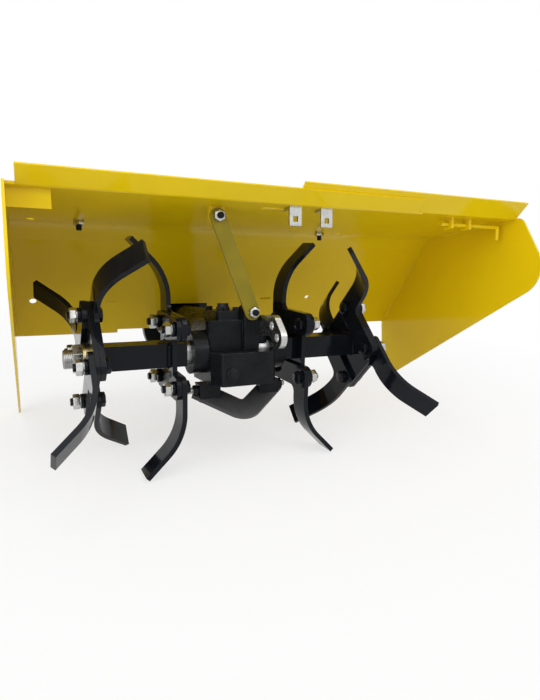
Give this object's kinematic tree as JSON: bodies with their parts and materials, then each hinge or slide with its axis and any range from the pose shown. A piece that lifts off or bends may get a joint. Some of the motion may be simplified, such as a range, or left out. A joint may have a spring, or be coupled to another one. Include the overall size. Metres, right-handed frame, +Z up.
{
  "type": "rotavator attachment",
  "caption": "Rotavator attachment with a folded hood, extension wing, side plates, central gear case and a free rotor of bent blades.",
  "frame": {"origin": "centre of the coupling spigot's front face, with the machine parked", "axes": "+X to the machine's right along the rotor shaft, +Y forwards to the tractor, +Z up"},
  "size_m": [0.725, 0.4457, 0.3626],
  "materials": {
    "yellow_paint": "gloss",
    "black_paint": "semi-gloss",
    "black_casting": "painted, slightly rough",
    "black_plastic": "matt",
    "olive_paint": "semi-gloss",
    "zinc": "bright zinc plate",
    "yellow_zinc": "yellow zinc plate",
    "bare_steel": "machined, oiled"
  },
  "bodies": {
    "frame": {"hood_centre": "yellow_paint", "hood_wing": "yellow_paint", "left_side_plate": "yellow_paint", "right_side_plate": "yellow_paint", "corner_bracket": "yellow_paint", "lip_clips": "zinc", "flap_ears": "yellow_paint", "flap_rod": "yellow_paint", "strut_lug": "yellow_paint", "hood_strut": "olive_paint", "hood_saddle": "black_paint", "gear_case": "black_casting", "worm_case": "black_casting", "filler_cap": "black_plastic", "drain_plug": "black_casting", "left_seal_cap": "black_casting", "right_seal_cap": "black_casting", "drag_lug": "zinc", "centre_share": "black_paint", "coupling_flange": "black_casting"},
    "rotor": {"rotor_shaft": "bare_steel", "left_tube": "black_paint", "right_tube": "black_paint", "left_inner_plate": "black_paint", "right_inner_plate": "black_paint", "left_outer_plate": "black_paint", "right_outer_plate": "black_paint", "left_end_nut": "yellow_zinc", "right_end_nut": "yellow_zinc", "left_inner_blade_1": "black_paint", "left_inner_blade_2": "black_paint", "right_inner_blade_1": "black_paint", "right_inner_blade_2": "black_paint", "left_outer_blade_1": "black_paint", "left_outer_blade_2": "black_paint", "left_outer_blade_3": "black_paint", "left_outer_blade_4": "black_paint", "right_outer_blade_1": "black_paint", "right_outer_blade_2": "black_paint", "right_outer_blade_3": "black_paint", "right_outer_blade_4": "black_paint"},
    "input": {"input_shaft": "bare_steel"}
  },
  "joints": [
    {"name": "rotor_spin", "type": "hinge", "parent": "frame", "child": "rotor", "pos_m": [0, -0.29724, 0.02441], "axis": [1, 0, 0], "continuous": true},
    {"name": "input_spin", "type": "hinge", "parent": "frame", "child": "input", "pos_m": [0, 0, 0], "axis": [0, 0.9925, -0.1219], "continuous": true}
  ],
  "couplings": [
    {"joint": "input_spin", "follows": "rotor_spin", "ratio": 4}
  ]
}
